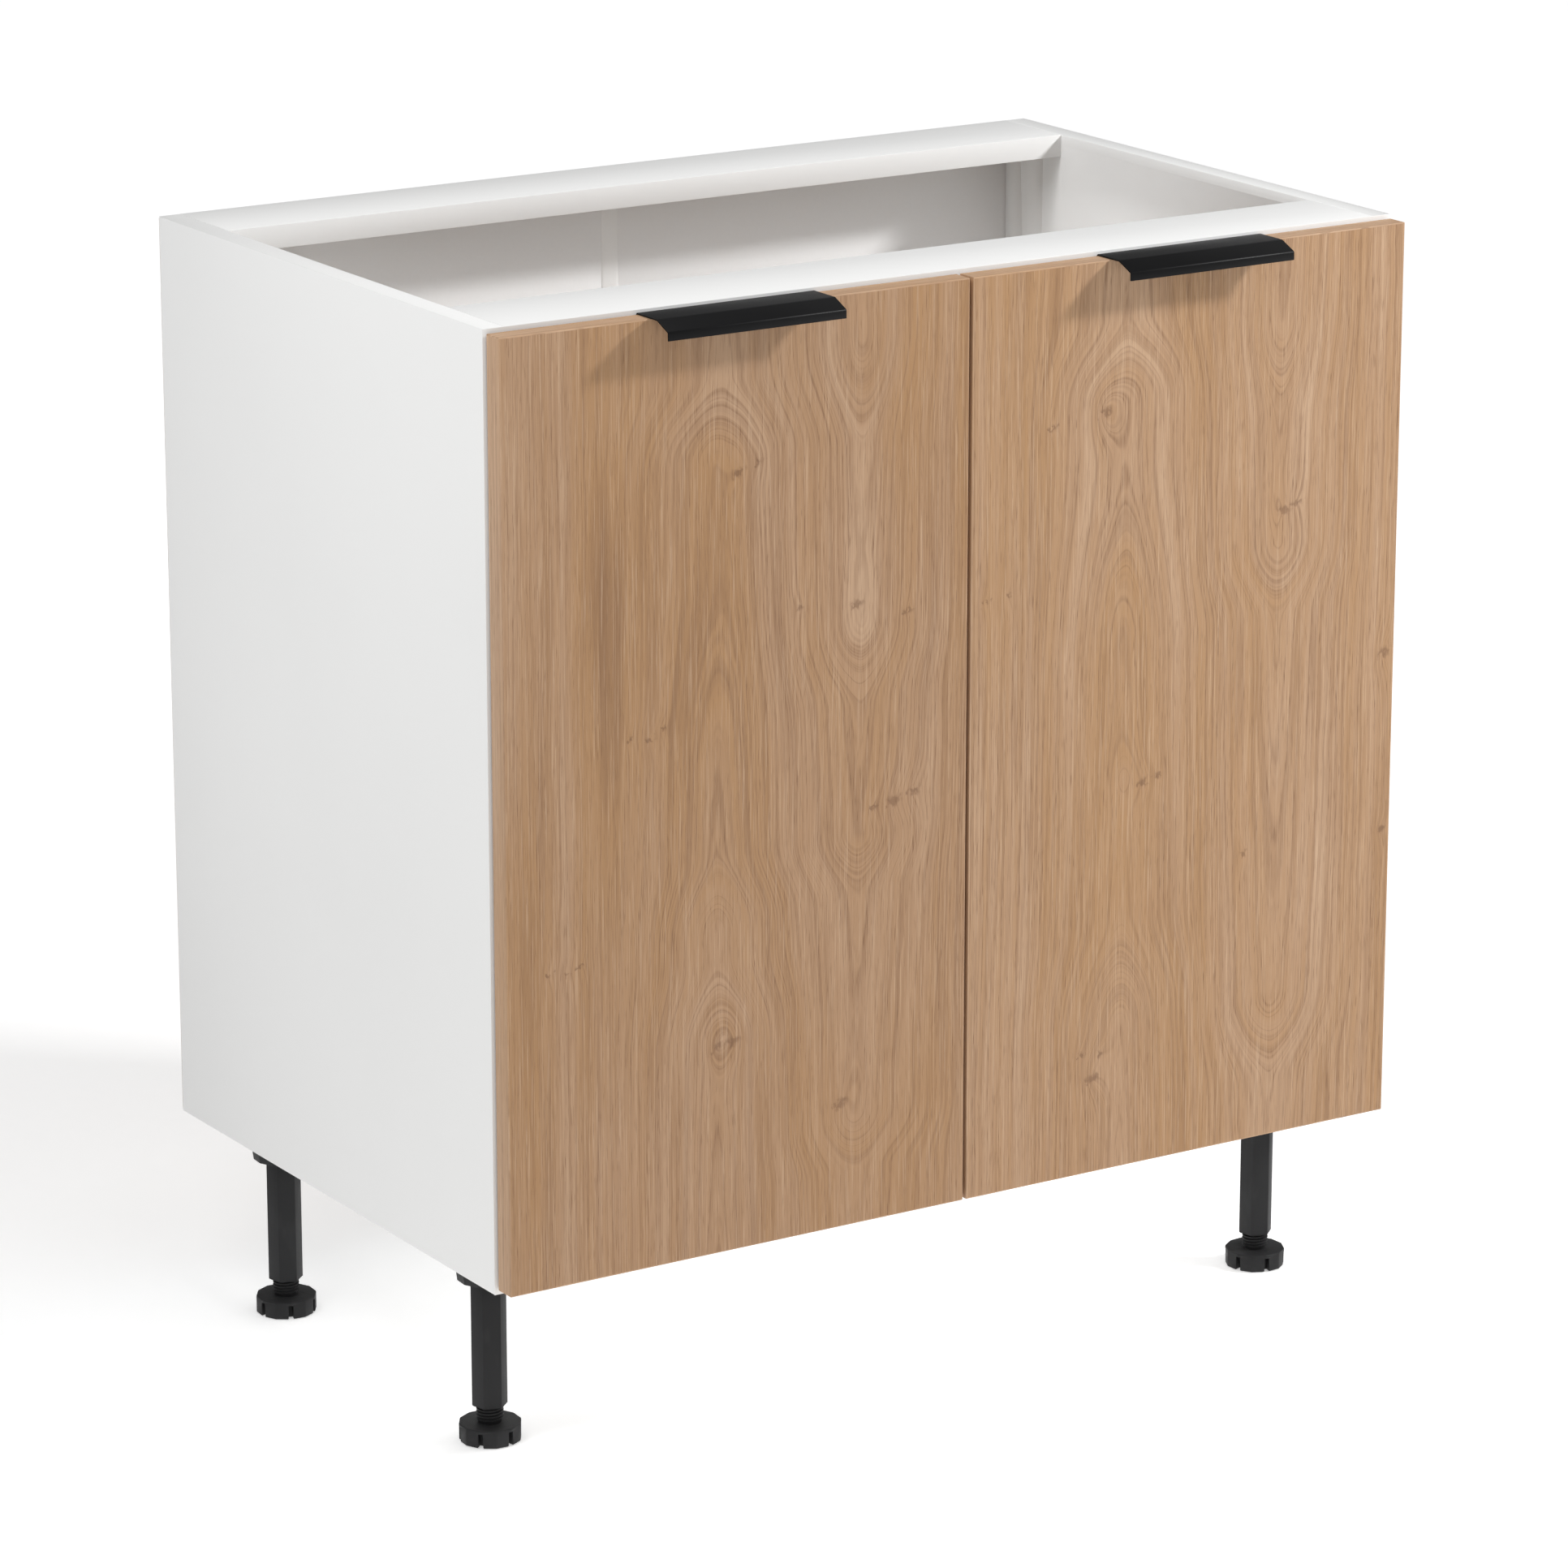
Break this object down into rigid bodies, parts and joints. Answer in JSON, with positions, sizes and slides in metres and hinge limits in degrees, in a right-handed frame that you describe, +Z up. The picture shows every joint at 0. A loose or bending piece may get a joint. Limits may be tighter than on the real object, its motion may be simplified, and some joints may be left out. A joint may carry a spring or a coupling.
{
  "type": "kitchen base cabinet",
  "caption": "Open-topped kitchen base cabinet with a white melamine carcass, light-oak double doors, black edge-pull handles and black levelling legs",
  "frame": {"origin": "middle of the footprint on the floor, under the feet", "axes": "+X to the right seen from the front, +Y to the back, +Z up"},
  "size_m": [0.8, 0.545, 0.87],
  "materials": {
    "beech": "plain beech",
    "black_plastic": "grained black plastic",
    "black_steel": "black zinc-plated screws",
    "cast_zinc": "nickel-plated cast zinc",
    "clear_plastic": "clear soft plastic",
    "handle_black": "satin black powder coat",
    "nickel_steel": "nickel-plated pressed steel",
    "oak_edge": "light oak edge band, a little paler than the face",
    "oak_foil": "light oak, upright grain, matt",
    "white_hardboard": "thin white lacquer on hardboard",
    "white_melamine": "satin white melamine with a fine grain, over chipboard",
    "white_plastic": "satin white plastic"
  },
  "bodies": {
    "carcass": {"back_joint_strip": "white_plastic", "back_nails": "nickel_steel", "back_panel_left": "white_hardboard", "back_panel_right": "white_hardboard", "bottom_panel": "white_melamine", "cam_bolts": "nickel_steel", "cam_locks": "cast_zinc", "carcass_edge_bands": "white_plastic", "dowels": "beech", "front_rail": "white_melamine", "hinge_arm_left_lower": "nickel_steel", "hinge_arm_left_upper": "nickel_steel", "hinge_arm_pins": "nickel_steel", "hinge_arm_right_lower": "nickel_steel", "hinge_arm_right_upper": "nickel_steel", "hinge_arm_screws": "nickel_steel", "hinge_plate_left_lower": "cast_zinc", "hinge_plate_left_upper": "cast_zinc", "hinge_plate_right_lower": "cast_zinc", "hinge_plate_right_upper": "cast_zinc", "hinge_plate_screws": "nickel_steel", "leg_column_front_left": "black_plastic", "leg_column_front_right": "black_plastic", "leg_column_rear_left": "black_plastic", "leg_column_rear_right": "black_plastic", "leg_socket_screws": "nickel_steel", "leg_sockets": "black_plastic", "rear_rail": "white_melamine", "shelf": "white_melamine", "shelf_pins": "nickel_steel", "side_panel_left": "white_melamine", "side_panel_right": "white_melamine"},
    "door_left": {"door_left": "oak_foil", "door_edge_bands_left": "oak_edge", "handle_left": "handle_black", "handle_screws_left": "black_steel", "door_bumpers_left": "clear_plastic", "hinge_cup_left_upper": "nickel_steel", "hinge_cup_left_lower": "nickel_steel", "cup_screws_left": "nickel_steel", "cup_pins_left": "nickel_steel"},
    "outer_links_left": {"outer_links_left": "nickel_steel"},
    "inner_links_left": {"inner_links_left": "nickel_steel"},
    "door_right": {"door_right": "oak_foil", "door_edge_bands_right": "oak_edge", "handle_right": "handle_black", "handle_screws_right": "black_steel", "door_bumpers_right": "clear_plastic", "hinge_cup_right_upper": "nickel_steel", "hinge_cup_right_lower": "nickel_steel", "cup_screws_right": "nickel_steel", "cup_pins_right": "nickel_steel"},
    "outer_links_right": {"outer_links_right": "nickel_steel"},
    "inner_links_right": {"inner_links_right": "nickel_steel"},
    "foot_front_left": {"levelling_foot_front_left": "black_plastic"},
    "foot_front_right": {"levelling_foot_front_right": "black_plastic"},
    "foot_rear_left": {"levelling_foot_rear_left": "black_plastic"},
    "foot_rear_right": {"levelling_foot_rear_right": "black_plastic"}
  },
  "joints": [
    {"name": "left_door_swing", "type": "hinge", "parent": "outer_links_left", "child": "door_left", "pos_m": [-0.3868, -0.2318, 0.51], "axis": [0, 0, -1], "range_deg": [0, 136]},
    {"name": "left_outer_links_swing", "type": "hinge", "parent": "carcass", "child": "outer_links_left", "pos_m": [-0.368, -0.2234, 0.51], "axis": [0, 0, 1], "range_deg": [0, 41.05]},
    {"name": "left_inner_links_swing", "type": "hinge", "parent": "carcass", "child": "inner_links_left", "pos_m": [-0.365, -0.2374, 0.51], "axis": [0, 0, 1], "range_deg": [0, 33.05]},
    {"name": "right_door_swing", "type": "hinge", "parent": "outer_links_right", "child": "door_right", "pos_m": [0.3868, -0.2318, 0.51], "axis": [0, 0, 1], "range_deg": [0, 136]},
    {"name": "right_outer_links_swing", "type": "hinge", "parent": "carcass", "child": "outer_links_right", "pos_m": [0.368, -0.2234, 0.51], "axis": [0, 0, -1], "range_deg": [0, 41.05]},
    {"name": "right_inner_links_swing", "type": "hinge", "parent": "carcass", "child": "inner_links_right", "pos_m": [0.365, -0.2374, 0.51], "axis": [0, 0, -1], "range_deg": [0, 33.05]},
    {"name": "front_left_foot_level", "type": "slide", "parent": "carcass", "child": "foot_front_left", "axis": [0, 0, -1], "range_m": [-0.011, 0.025]},
    {"name": "front_right_foot_level", "type": "slide", "parent": "carcass", "child": "foot_front_right", "axis": [0, 0, -1], "range_m": [-0.011, 0.025]},
    {"name": "rear_left_foot_level", "type": "slide", "parent": "carcass", "child": "foot_rear_left", "axis": [0, 0, -1], "range_m": [-0.011, 0.025]},
    {"name": "rear_right_foot_level", "type": "slide", "parent": "carcass", "child": "foot_rear_right", "axis": [0, 0, -1], "range_m": [-0.011, 0.025]}
  ],
  "couplings": [
    {"joint": "left_outer_links_swing", "follows": "left_door_swing", "ratio": 0.30147},
    {"joint": "left_inner_links_swing", "follows": "left_door_swing", "ratio": 0.24265},
    {"joint": "right_outer_links_swing", "follows": "right_door_swing", "ratio": 0.30147},
    {"joint": "right_inner_links_swing", "follows": "right_door_swing", "ratio": 0.24265}
  ]
}
